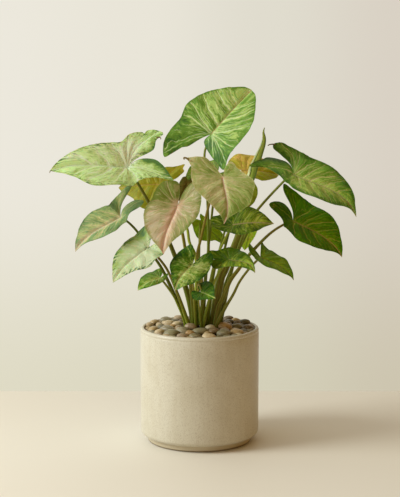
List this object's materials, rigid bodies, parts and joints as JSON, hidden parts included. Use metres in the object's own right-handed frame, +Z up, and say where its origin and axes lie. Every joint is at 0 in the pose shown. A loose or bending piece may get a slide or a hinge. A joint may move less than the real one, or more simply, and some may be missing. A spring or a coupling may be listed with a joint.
{
  "type": "potted syngonium",
  "caption": "House plant with arrow-shaped variegated leaves on slim stalks, in a straight stoneware cover pot topped with river pebbles.",
  "frame": {"origin": "centre of the pot's flat foot, on the surface that the pot stands on", "axes": "+Z up along the pot's axis; -Y is the front, towards the viewer of the picture; +X is to the viewer's right"},
  "size_m": [0.3742, 0.184, 0.4468],
  "materials": {
    "pot_glaze": "satin cream and tan speckled stoneware glaze",
    "potting_soil": "dark crumbly potting mix with white perlite",
    "pebbles": "polished river stones in tan, ochre, grey and dark olive",
    "leaf_green": "satin fresh green leaf with pale cream veins",
    "leaf_bright": "bright olive green leaf",
    "leaf_dark": "dark green leaf with light veins",
    "leaf_pale": "pale cream-green leaf with green flecks at the edge",
    "leaf_pink": "olive and pink leaf with a pink midrib",
    "leaf_olive": "yellow-olive leaf",
    "leaf_amber": "amber and pink leaf"
  },
  "bodies": {
    "root": {"pot": "pot_glaze", "soil": "potting_soil", "pebble_bed": "pebbles", "leaf_top": "leaf_green", "leaf_left_low": "leaf_green", "leaf_right_high": "leaf_green", "leaf_mid_right": "leaf_green", "leaf_low_right": "leaf_green", "leaf_low_centre": "leaf_green", "leaf_low_left": "leaf_green", "leaf_small_front": "leaf_green", "leaf_back_high": "leaf_green", "leaf_rolled": "leaf_green", "leaf_back_tip": "leaf_bright", "leaf_back_mid": "leaf_bright", "leaf_right_low": "leaf_dark", "leaf_left_high": "leaf_pale", "leaf_left_pale": "leaf_pale", "leaf_small_left": "leaf_pale", "leaf_pink_front": "leaf_pink", "leaf_rose_centre": "leaf_pink", "leaf_back_olive": "leaf_olive", "leaf_behind_right": "leaf_olive", "leaf_back_amber": "leaf_amber"}
  },
  "joints": []
}
